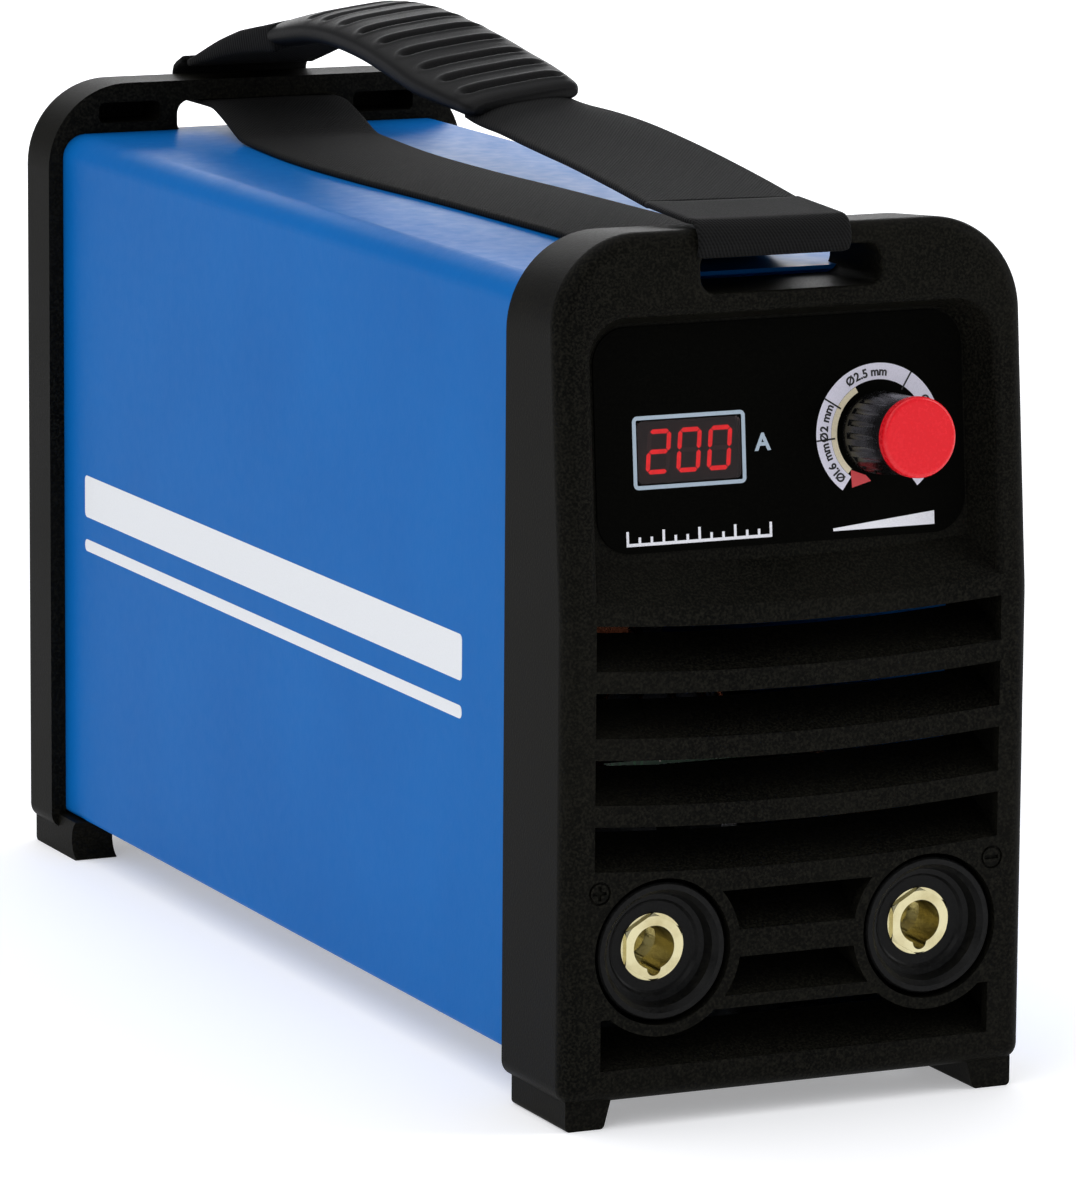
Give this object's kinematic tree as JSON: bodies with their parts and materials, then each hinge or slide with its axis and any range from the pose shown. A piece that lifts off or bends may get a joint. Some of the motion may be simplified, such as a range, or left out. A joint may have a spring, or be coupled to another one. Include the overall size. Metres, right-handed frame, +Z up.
{
  "type": "stick welding inverter",
  "caption": "Portable stick welding power source with sheet cover, leaning control panel, louvred front, weld sockets, cooling fan and carrying strap.",
  "frame": {"origin": "under the middle of the box, on the surface that the feet stand on", "axes": "+Z up; the front panel with the knob faces -Y; +X is to the right of someone facing the front"},
  "size_m": [0.15, 0.4716, 0.2907],
  "materials": {
    "black_moulding": "fine moulded texture",
    "blue_powder": "semi-gloss powder coat",
    "steel": "zinc plated",
    "label_black": "matt printed film",
    "smoked_lens": "smoked red lens",
    "led_module": "matt with red bars",
    "circuit_board": "solder mask",
    "brass": "turned",
    "copper": "bare copper",
    "aluminium": "extruded",
    "black_plastic": "moulded",
    "red_cap": "satin red",
    "knob_black": "satin",
    "capacitor_sleeve": "sleeve",
    "component_grey": "moulded",
    "ferrite": "ferrite",
    "webbing": "twill webbing",
    "rubber": "soft grip",
    "nylon": "nylon"
  },
  "bodies": {
    "housing": {"front_panel": "black_moulding", "rear_panel": "black_moulding", "cover": "blue_powder", "base_plate": "steel", "cover_screws": "steel", "base_screws": "steel", "control_overlay": "label_black", "display_window": "smoked_lens", "display_module": "led_module", "control_board": "circuit_board", "control_standoffs": "steel", "potentiometer_body": "steel", "potentiometer_nut": "steel", "socket_positive": "brass", "socket_negative": "brass", "socket_insulator_left": "black_plastic", "socket_insulator_right": "black_plastic", "socket_locknuts": "black_plastic", "busbar_positive": "copper", "busbar_negative": "copper", "busbar_nuts": "steel", "current_sensor": "component_grey", "heatsink_left": "aluminium", "heatsink_right": "aluminium", "power_transistors": "black_plastic", "output_diodes": "black_plastic", "main_board": "circuit_board", "board_standoffs": "steel", "bulk_capacitors": "capacitor_sleeve", "bridge_rectifier": "component_grey", "inrush_relay": "component_grey", "transformer_core": "ferrite", "transformer_winding": "copper", "choke_core": "ferrite", "choke_winding": "copper", "input_terminal": "component_grey", "fan_frame": "black_plastic", "fan_screws": "steel", "switch_housing": "black_plastic", "gland_body": "nylon", "gland_dome_nut": "nylon", "gland_locknut": "nylon", "strap_lower": "webbing", "strap_front_leg": "webbing", "strap_rear_leg": "webbing"},
    "control_knob": {"knob_body": "knob_black", "knob_cap": "red_cap", "potentiometer_shaft": "steel"},
    "fan": {"fan_rotor": "black_plastic"},
    "mains_rocker": {"switch_rocker": "black_plastic"},
    "carrying_grip": {"strap_grip": "rubber", "strap_core": "webbing"}
  },
  "joints": [
    {"name": "knob_turn", "type": "hinge", "parent": "housing", "child": "control_knob", "pos_m": [0.0316, -0.21885, 0.19781], "axis": [0, -0.9959, 0.0906], "range_deg": [0, 290]},
    {"name": "fan_spin", "type": "hinge", "parent": "housing", "child": "fan", "pos_m": [0, 0.19684, 0.076], "axis": [0, 1, 0], "continuous": true},
    {"name": "rocker_tilt", "type": "hinge", "parent": "housing", "child": "mains_rocker", "pos_m": [0.033, 0.20684, 0.2], "axis": [1, 0, 0], "range_deg": [-22, 0]},
    {"name": "handle_drop", "type": "slide", "parent": "housing", "child": "carrying_grip", "axis": [0, 0, -1], "range_m": [0, 0.022], "deforming": ["strap_front_leg", "strap_rear_leg"]}
  ]
}
